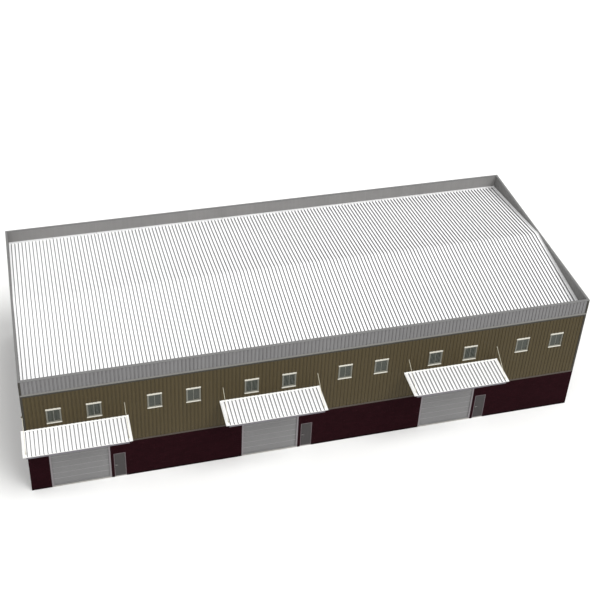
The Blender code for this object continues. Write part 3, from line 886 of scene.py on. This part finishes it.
def make_roof():
    """Ribbed sheets of both slopes, a ribbed ridge, screws on the ribs and flashings at the parapets."""
    length = EAVE_Y / math.cos(PITCH_ANGLE)
    reach = ROOF_X - 0.02
    line = rib_line(-reach, reach, ROOF_RIB)
    for name, turn in (("front", 1), ("back", -1)):
        place = slope_place(turn)
        levels = (0.06, length / 3, 2 * length / 3, length - 0.02)
        sheet(f"roof_{name}_sheet", ribbed_sheet(line, levels, place), ROOF_PAINT, "white_roof_sheet")
        screws = Shape()
        normal = Vector((0, -turn * math.sin(PITCH_ANGLE), math.cos(PITCH_ANGLE)))
        for up in PURLINS:
            for index in range(1, RIB_COUNT - 1):
                middle = -HALF_X + (index + 0.5) * RIB_PITCH
                centre = place(np.array([(middle + 0.004, up, ROOF_RIB["height"] + 0.0005)]))[0]
                screw(screws, centre, normal, (1, 0, 0), 0.010)
        piece(f"roof_{name}_screws", screws, WHITE_SCREW, "white_roof_sheet")

    half = 0.34
    bend = 0.012

    def over_ridge(points):
        across, along, rise = points.T
        sine, cosine = math.sin(PITCH_ANGLE), math.cos(PITCH_ANGLE)
        drop = np.sqrt((along * sine) ** 2 + bend**2) - bend
        lean = np.tanh(along / 0.05) * sine
        rise = rise + SHEET_CLEARANCE + 0.003
        return np.column_stack((across, along * cosine + rise * lean, RIDGE_Z - drop + rise * cosine))

    levels = (-half, -0.05, -0.018, 0.018, 0.05, half)
    sheet("ribbed_ridge", ribbed_sheet(line, levels, over_ridge), ROOF_PAINT, "white_roof_sheet",
          replaces=("roof_ridge_cap",))

    flashing = Shape()
    for turn in (1, -1):
        place = slope_place(turn)
        for sign in (-1, 1):
            wall, foot = sign * (ROOF_X + 0.001), sign * (ROOF_X - 0.045)
            section = [(wall, 0.072), (wall, ROOF_RIB["height"] + 0.010), (foot, ROOF_RIB["height"] + 0.006),
                       (foot, 0.004)]
            if sign * turn > 0:
                section.reverse()
            rings = [place(np.array([(x, up, rise) for x, rise in section])) for up in (0.0, length)]
            flashing.loft(rings, closed=False)
    for turn in (1, -1):
        rings = []
        for x in (-ROOF_X, ROOF_X):
            section = [(0.0008, 0.16), (0.0008, 0.008), (0.05, 0.002), (0.10, 0.0015)]
            rings.append([(x, turn * (-EAVE_Y + y), EAVE_Z + y * math.tan(PITCH_ANGLE) + z)
                          for y, z in section])
        flashing.loft(rings[::-turn], closed=False)
    piece("roof_edge_flashings", flashing, ROOF_FLASHING, "light_flashing", thickness=0.001)


# ---------------------------------------------------------------- windows


def make_windows():
    """Frames with two sliding sashes, panes, and the light head and sill of each window."""
    left, right, bottom, top = WINDOW_BOXES[0]
    wide = (right - left) / 2
    half, tall = wide - 0.04, (top - bottom) / 2 - 0.105
    face, stile, front = 0.05, 0.034, 0.004
    local = Side("window", 0.0, 0.0, HALF_Y)
    frames, panes, trims = Shape(), Shape(), Shape()

    def bar(along, height, inset, chamfer=0.003):
        local.block(frames, along, height, inset, chamfer)

    for sign in (-1, 1):
        bar((sign * half, sign * (half - face)), (-tall, tall), (0.012, 0.145))
        bar((-half, half), (sign * tall, sign * (tall - face)), (0.0125, 0.1445))
        bar((sign * (half + 0.03), sign * (half - 0.012)), (-tall - 0.02, tall + 0.02), (0.0055, 0.040))
    sash_tall = tall - face + 0.006
    sashes = (
        (0.030, (-half + face - 0.006, 0.02), (-half + face, 0.012)),
        (0.072, (-0.02, half - face + 0.006), (-0.012, half - face)),
    )
    for inset, (low, high), pane in sashes:
        for x in (low, high - stile):
            bar((x, x + stile), (-sash_tall, sash_tall), (inset, inset + 0.034))
        for z in (-sash_tall, sash_tall - stile):
            bar((low, high), (z, z + stile), (inset + 0.0005, inset + 0.0335))
        local.block(panes, pane, (-tall + face, tall - face), (inset + 0.014, inset + 0.020), 0.001)
    bar((-0.012, 0.012), (-0.05, 0.05), (0.022, 0.031), 0.002)

    back = SHEET - 0.001
    head = [(back, tall + 0.105), (0.0085, tall + 0.104), (front, tall + 0.100), (front, tall - 0.004),
            (front + 0.006, tall - 0.012), (back, tall - 0.010)]
    sill = [(back, -tall + 0.006), (0.020, -tall - 0.002), (0.0015, -tall - 0.014),
            (0.0015, -tall - 0.090), (0.0085, -tall - 0.096), (back, -tall - 0.097)]
    for section in (head, sill):
        trims.loft([local.place([(x, z, inset) for inset, z in section]) for x in (-wide, wide)])
    places = [((left + right) / 2, 0, (bottom + top) / 2) for left, right, bottom, top in WINDOW_BOXES]
    make_copies(WINDOWS, places, (
        ("frame", frames, FRAME_PAINT, "window_frame_paint", None),
        ("glass", panes, GLASS, "window_glass", None),
        ("head_and_sill", trims, WINDOW_TRIM, "window_trim_paint", None),
    ))


# ---------------------------------------------------------------- shutters


def make_shutters():
    """Slatted curtain, guides, hood and bottom rail of each roller shutter."""
    left, right, bottom, top = SHUTTER_BOXES[0]
    half, tall = (right - left) / 2, top - bottom
    guide, slat, rail_top, hood_bottom = 0.12, 0.103, 0.12, tall - 0.35
    clear = half - guide
    across = (-clear - 0.02, clear + 0.02)
    local = Side("shutter", 0.0, 0.0, HALF_Y)
    curtain, lips, guides, hood, rail, seal = (Shape() for _ in range(6))

    def run(section, reach):
        return [local.place([(x, z, inset) for inset, z in section]) for x in (-reach, reach)]

    section = []
    for index in range(int((tall - rail_top - 0.30) / slat) + 1):
        z = rail_top + index * slat
        strong = index % 5 == 4
        out = 0.052 if strong else 0.056
        section += [
            (0.066, z), (out + 0.004, z + 0.004), (out, z + 0.018), (out - 0.001, z + 0.05),
            (out, z + 0.082), (out + 0.004, z + 0.093), (0.066, z + 0.098),
        ]
        # Each fifth slat has a lip, painted lighter as a painted highlight
        if strong:
            local.block(lips, across, (z + 0.092, z + 0.112), (0.044, 0.07))
    section = [(inset, min(z, tall - 0.02)) for inset, z in reversed(section)]
    curtain.loft(run(section, clear + 0.03), closed=False)

    for sign in (-1, 1):
        for end, margin, inset in (
            (clear, 0.001, (0.001, 0.040)), (half - 0.03, 0.001, (0.038, 0.10)),
            (clear, 0.0015, (0.072, 0.0995)),
        ):
            local.block(guides, (sign * half, sign * end), (margin, tall - margin), inset, 0.004)

    section = [
        (0.095, hood_bottom), (0.030, hood_bottom + 0.004), (0.011, hood_bottom + 0.03),
        (0.011, tall - 0.03), (0.022, tall - 0.006), (0.095, tall - 0.006),
    ]
    hood.loft(run(section, clear + 0.005)[::-1])
    for x in (-clear / 2, 0.0, clear / 2):
        local.block(hood, (x - 0.02, x + 0.02), (hood_bottom + 0.012, tall - 0.012), (0.0085, 0.03))

    local.block(rail, across, (0.022, rail_top), (0.040, 0.074), 0.004)
    local.block(rail, across, (0.034, 0.046), (0.036, 0.074), 0.002)
    for x in (-0.9, 0.9):
        local.block(rail, (x - 0.06, x + 0.06), (0.066, 0.092), (0.034, 0.05), 0.004)
    local.block(seal, across, (0.0008, 0.024), (0.048, 0.066), 0.006)
    places = [((left + right) / 2, 0, bottom) for left, right, bottom, _ in SHUTTER_BOXES]
    make_copies([f"roller_door_{unit}" for unit in UNITS], places, (
        ("curtain", curtain, SHUTTER_PAINT, "shutter_steel", THIN_SHEET),
        ("lips", lips, LIP_HIGHLIGHT_PAINT, "shutter_steel", None),
        ("guides", guides, GUIDE_PAINT, "shutter_steel", None),
        ("hood", hood, SHUTTER_PAINT, "shutter_steel", None),
        ("bottom_rail", rail, SHUTTER_PAINT, "shutter_steel", None),
        ("seal", seal, RUBBER, "door_hardware", None),
    ))


# ---------------------------------------------------------------- man doors


def make_door_metal(front, back, handle_x, handle_z):
    """Levers on both faces of a leaf, with a rose and a key rose under each."""
    metal = Shape()
    for sign, face in ((-1, front), (1, back)):
        tip = face + sign * 0.050
        for lift, radius in ((0.0, 0.026), (-0.075, 0.024)):
            rings = [
                ring_points((handle_x, face + sign * depth, handle_z + lift), (1, 0, 0), (0, 0, 1), r, 24)
                for depth, r in ((-0.001, radius), (0.005, radius), (0.008, radius - 0.003))
            ]
            metal.loft(rings[::-sign])
        tube(metal, [
            (handle_x, face, handle_z), (handle_x, tip - sign * 0.008, handle_z),
            (handle_x + 0.008, tip, handle_z), (handle_x + 0.10, tip, handle_z),
            (handle_x + 0.118, tip - sign * 0.006, handle_z - 0.001),
        ], 0.0095, 12)
        low, high = sorted((face, face + sign * 0.011))
        block(metal, (handle_x - 0.004, low, handle_z - 0.088), (handle_x + 0.004, high, handle_z - 0.062))
    return metal


def make_hinges(x, y, heights, right, front):
    """The leaf's and the frame's halves of a door's hinges, with their knuckles on the joint's axis."""
    moving, fixed = Shape(), Shape()
    for middle in heights:
        for part in range(5):
            low = middle - 0.05 + part * 0.02
            rings = [
                ring_points((x, y, low + up), (1, 0, 0), (0, 1, 0), r, 14)
                for up, r in ((0.0004, 0.0062), (0.001, 0.0068), (0.019, 0.0068), (0.0196, 0.0062))
            ]
            (fixed if part % 2 else moving).loft(rings)
        for shape, start, end in ((moving, right - 0.034, x - 0.004), (fixed, x + 0.004, x + 0.036)):
            block(shape, (start, front - 0.0014, middle - 0.05), (end, front + 0.001, middle + 0.05), 0.0005)
    return moving, fixed


def make_man_doors():
    """Leaves with hinges and levers, which ride on their joints, and seals in the frames."""
    for unit in UNITS:
        node, frame_node = f"man_door_{unit}", f"door_frame_{unit}"
        corners = np.array([v.co for v in NODES[node].data.vertices])
        front = -HALF_Y
        right, top, bottom = corners[:, 0].max(), corners[:, 2].max(), corners[:, 2].min()
        slab = corners[np.abs(corners[:, 2] - top) < 0.001]
        left, back = slab[:, 0].min(), slab[:, 1].max()
        leaf = Shape()
        block(leaf, (left, front, bottom), (right, back, top), 0.003)
        margin = 0.085
        for y_low, y_high in ((front - 0.0012, front + 0.004), (back - 0.004, back + 0.0012)):
            for low, high in ((bottom + 0.30, bottom + 0.92), (bottom + 1.16, top - 0.12)):
                block(leaf, (left + margin, y_low, low), (right - margin, y_high, high), 0.0011)
        piece(f"{node}_leaf", leaf, DOOR_PAINT, "door_leaf_paint", node, replaces=(node,))

        handle = corners[corners[:, 1] < front - 0.02]
        metal = make_door_metal(front, back, handle[:, 0].min() + 0.012, handle[:, 2].mean())
        hinge_x, hinge_y, _ = next(j["pos_m"] for j in frame["joints"] if j["child"] == node)
        heights = [bottom + share * (top - bottom) for share in (0.12, 0.5, 0.88)]
        moving, fixed = make_hinges(hinge_x, hinge_y, heights, right, front)
        piece(f"{node}_hardware", metal, STEEL, "door_hardware", node, smooth_angle=35)
        piece(f"{node}_hinge_leaves", moving, HINGE_PAINT, "door_hardware", node, smooth_angle=35)
        piece(f"{frame_node}_hinge_leaves", fixed, HINGE_PAINT, "door_hardware", smooth_angle=35)

        seal = Shape()
        l, r, b, t = DOOR_BOXES[unit - 1]
        stop = back + 0.0035
        for x, end, z in (
            (l + 0.048, l + 0.055, b + 0.021), (r - 0.055, r - 0.048, b + 0.021),
            (l + 0.048, r - 0.048, t - 0.054),
        ):
            block(seal, (x, stop, z), (end, stop + 0.0023, t - 0.047), 0.001)
        piece(f"{frame_node}_seal", seal, RUBBER, "door_hardware")
        bevel = NODES[frame_node].modifiers.new("edges", "BEVEL")
        bevel.width = 0.003
        bevel.segments = 2
        bevel.limit_method = "ANGLE"


# ---------------------------------------------------------------- canopies


def channel(shape, start, end, web_out, height, width, thickness=0.008):
    """A channel section along a line: its web faces web_out and its flanges point the other way."""
    start, end, web_out, up = (np.array(v, float) for v in (start, end, web_out, (0, 0, 1)))
    t = thickness
    outline = [
        (0, 0), (0, height), (-width, height), (-width, height - t), (-t, height - t), (-t, t), (-width, t),
        (-width, 0),
    ]
    rings = [[end_point + web_out * x + up * z for x, z in outline] for end_point in (start, end)]
    shape.loft(rings if np.dot(np.cross(web_out, up), end - start) > 0 else rings[::-1])


def make_canopies():
    """Ribbed sheets with verge and wall flashings on a frame of channels."""
    beam = 0.17
    wall_y = -HALF_Y + CREST - 0.001
    for unit in UNITS:
        low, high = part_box(f"canopy_sheet_{unit}")
        frame_low, frame_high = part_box(f"canopy_frame_{unit}")
        corners = [v.co for v in NODES[f"canopy_sheet_{unit}"].data.vertices]
        front_top = max(corner.z for corner in corners if corner.y < low.y + 0.001)
        fall = (high.z - front_top) / (high.y - low.y)
        depth = front_top - low.z

        def at_depth(y, drop):
            """Height of the canopy at a distance from the wall, below its top surface."""
            return high.z + (y - high.y) * fall - drop

        def place(points):
            across, y, rise = points.T
            return np.column_stack((across, y, at_depth(y, depth - 0.002) + rise))

        def run(section, margin):
            """Both ends of a strip from verge to verge, from its (y, drop) points."""
            ends = (low.x + margin, high.x - margin)
            return [[(x, y, at_depth(y, drop)) for y, drop in section] for x in ends]

        line = rib_line(low.x + 0.02, high.x - 0.02, CANOPY_RIB)
        levels = (low.y + 0.004, (low.y + high.y) / 2, wall_y)
        sheet(f"canopy_{unit}_ribbed_sheet", ribbed_sheet(line, levels, place), CANOPY_PAINT,
              "white_canopy_sheet", replaces=(f"canopy_sheet_{unit}",))

        trim = Shape()
        for sign, x in ((-1, low.x), (1, high.x)):
            section = [(0.205, 0.036), (0.200, 0.003), (0.005, 0.0015), (0.001, 0.006),
                       (0.001, depth - 0.001), (0.012, depth - 0.0015)]
            rings = [
                [(x - sign * margin, y, at_depth(y, drop)) for margin, drop in section]
                for y in (low.y + 0.001, wall_y)
            ]
            trim.loft(rings[::-sign], closed=False)
        upstand = [(high.y + 0.0005, -0.05), (wall_y - 0.002, -0.046), (wall_y - 0.002, -0.004),
                   (wall_y - 0.055, 0.0005), (wall_y - 0.057, 0.012)]
        trim.loft(run(upstand, 0.003)[::-1], closed=False)
        lip = [(low.y + 0.05, depth - 0.006), (low.y + 0.006, depth - 0.005), (low.y + 0.0015, depth - 0.002),
               (low.y + 0.0015, depth + 0.012), (low.y + 0.010, depth + 0.018)]
        trim.loft(run(lip, 0.002), closed=False)
        sheet(f"canopy_{unit}_trims", trim, CANOPY_TRIM, "white_canopy_sheet", THIN_SHEET, offset=0.0)

        steel = Shape()
        (left, front), right, back = frame_low.xy, frame_high.x, wall_y
        z_front, z_back = (at_depth(y, depth + 0.001 + beam) for y in (front, back))
        channel(steel, (left, front, z_front), (right, front, z_front), (0, -1, 0), beam, 0.09)
        channel(steel, (left, back, z_back), (right, back, z_back), (0, 1, 0), beam, 0.07)
        arms = [(left, -1, 0.0, beam, 0.075, 0.008), (right, 1, 0.0, beam, 0.075, 0.008)]
        for share in (0.25, 0.5, 0.75):
            arms.append((left + (right - left) * share, 1, 0.04, beam - 0.045, 0.05, 0.005))
        for x, sign, lift, *size in arms:
            start, end = (x, front + 0.01, z_front + lift), (x, back - 0.01, z_back + lift)
            channel(steel, start, end, (sign, 0, 0), *size)
        for share in (0.36, 0.7):
            y = front + (back - front) * share
            z = at_depth(y, depth + 0.001) - 0.05
            channel(steel, (left + 0.01, y, z), (right - 0.01, y, z), (0, -1, 0), 0.05, 0.03, 0.003)
        piece(f"canopy_{unit}_steel", steel, BEAM_PAINT, "canopy_steel_paint",
              replaces=(f"canopy_frame_{unit}",))

        screws = Shape()
        normal = Vector((0, -fall, 1)).normalized()
        for index in range(RIB_COUNT):
            x = -HALF_X + (index + 0.5) * RIB_PITCH
            if low.x + 0.15 < x < high.x - 0.15:
                for y in (low.y + 0.06, (low.y + high.y) / 2, high.y - 0.2):
                    z = at_depth(y, depth - 0.002 - CANOPY_RIB["height"])
                    screw(screws, (x, y, z), normal, (1, 0, 0))
        piece(f"canopy_{unit}_screws", screws, WHITE_SCREW, "white_canopy_sheet")


def make_tie_rods():
    """Rods with forks, a turnbuckle, a bolted wall plate and a lug on the canopy."""
    for node in (f"tie_rod_{unit}_{side}" for unit in UNITS for side in ("left", "right")):
        low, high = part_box(node)
        x, half = (low.x + high.x) / 2, (high.x - low.x) / 2
        wall_y, lug_y, plate_z = high.y, low.y + 0.06, high.z - half
        plate, rod = Shape(), Shape()
        block(plate, (x - half, wall_y - 0.012, plate_z - half), (x + half, wall_y, plate_z + half))
        block(plate, (x - 0.006, wall_y - 0.075, plate_z - 0.035), (x + 0.006, wall_y - 0.01, plate_z + 0.03))
        for dx in (-1, 1):
            for dz in (-1, 1):
                centre = (x + dx * half * 0.66, wall_y - 0.0118, plate_z + dz * half * 0.66)
                screw(plate, centre, (0, -1, 0), (1, 0, 0), 0.017)
        piece(f"{node}_wall_plate", plate, PLATE_PAINT, "dark_trim")

        block(rod, (x - 0.006, lug_y - 0.055, low.z), (x + 0.006, lug_y + 0.055, low.z + 0.068), 0.004)
        block(rod, (x - 0.03, lug_y - 0.06, low.z), (x + 0.03, lug_y + 0.06, low.z + 0.010))
        top = Vector((x, wall_y - 0.055, plate_z - 0.006))
        foot = Vector((x, lug_y + 0.005, low.z + 0.045))
        way = (top - foot).normalized()
        tube(rod, [foot + way * 0.09, top - way * 0.09], 0.014, 14)
        tube(rod, [foot.lerp(top, 0.42) + way * along for along in (-0.11, -0.10, 0.10, 0.11)], 0.021, 6)
        for end, direction in ((foot, way), (top, -way)):
            tube(rod, [end + direction * 0.065, end + direction * 0.105], 0.020)
            for shift in (-0.0125, 0.0125):
                first = end + Vector((shift, 0, 0))
                tube(rod, [first - direction * 0.018, first + direction * 0.07], 0.0062, 8)
            tube(rod, [end - Vector((0.026, 0, 0)), end + Vector((0.026, 0, 0))], 0.010)
        piece(f"{node}_assembly", rod, ROD_PAINT, "tie_rod_paint", replaces=(node,), smooth_angle=35)


# ---------------------------------------------------------------- studio


# (name, strength, angle in degrees, direction towards the light)
LIGHTS = (("key", 2.4, 40, (0.40, -0.42, 0.81)), ("fill", 0.5, 60, (-0.62, -0.30, 0.72)))


def make_studio():
    size, below = 700.0, -0.004
    shape = Shape()
    shape.add([(x * size, y * size, below) for x, y in ((-1, -1), (1, -1), (1, 1), (-1, 1))], [(0, 1, 2, 3)])
    ground = bpy.data.objects.new("studio_floor", mesh_of("studio_floor", shape))
    ground.data.materials.append(floor_paint())
    bpy.context.scene.collection.objects.link(ground)

    world = bpy.data.worlds.new("studio")
    world.use_nodes = True
    background = world.node_tree.nodes["Background"]
    background.inputs["Color"].default_value = (1.0, 1.0, 1.0, 1.0)
    background.inputs["Strength"].default_value = 0.62
    bpy.context.scene.world = world

    for name, energy, angle, toward in LIGHTS:
        light = bpy.data.lights.new(name, "SUN")
        light.energy = energy
        light.angle = math.radians(angle)
        lamp = bpy.data.objects.new(name, light)
        lamp.rotation_euler = Vector(toward).to_track_quat("Z", "Y").to_euler()
        bpy.context.scene.collection.objects.link(lamp)
    bpy.context.scene.view_settings.view_transform = "Standard"


CAMERA_PLACE = (-17.467, -60.568, 58.601)
CAMERA_AZIMUTH = math.radians(-15.27)
CAMERA_ELEVATION = math.radians(34.66)
CAMERA_ROLL = math.radians(2.22)
CAMERA_LENS = 66.77
CAMERA_SHIFT = (0.035, -0.158)


def make_camera():
    data = bpy.data.cameras.new("camera")
    data.sensor_width = 36.0
    data.lens = CAMERA_LENS
    data.shift_x, data.shift_y = CAMERA_SHIFT
    data.clip_end = 2000.0
    camera = bpy.data.objects.new("camera", data)
    bpy.context.scene.collection.objects.link(camera)
    camera.matrix_world = (
        Matrix.Translation(CAMERA_PLACE)
        @ Matrix.Rotation(CAMERA_AZIMUTH, 4, "Z")
        @ Matrix.Rotation(math.pi / 2 - CAMERA_ELEVATION, 4, "X")
        @ Matrix.Rotation(CAMERA_ROLL, 4, "Z")
    )
    bpy.context.scene.camera = camera


make_camera()
make_studio()
repaint([name for name in NODES if "wainscot" in name or "door_surround" in name], MORTAR)
repaint([name for name in NODES if name.endswith("_siding")], LINER)
repaint(["roof_front_slope", "roof_back_slope"], LINER)
repaint(["floor_slab"], CONCRETE)
repaint([f"door_frame_{unit}" for unit in UNITS], DOOR_FRAME_PAINT)
make_wall_sheets()
make_masonry()
make_flashings()
make_corner_trims()
make_parapet_cores()
make_parapet_backs()
make_roof()
make_windows()
make_shutters()
make_man_doors()
make_canopies()
make_tie_rods()
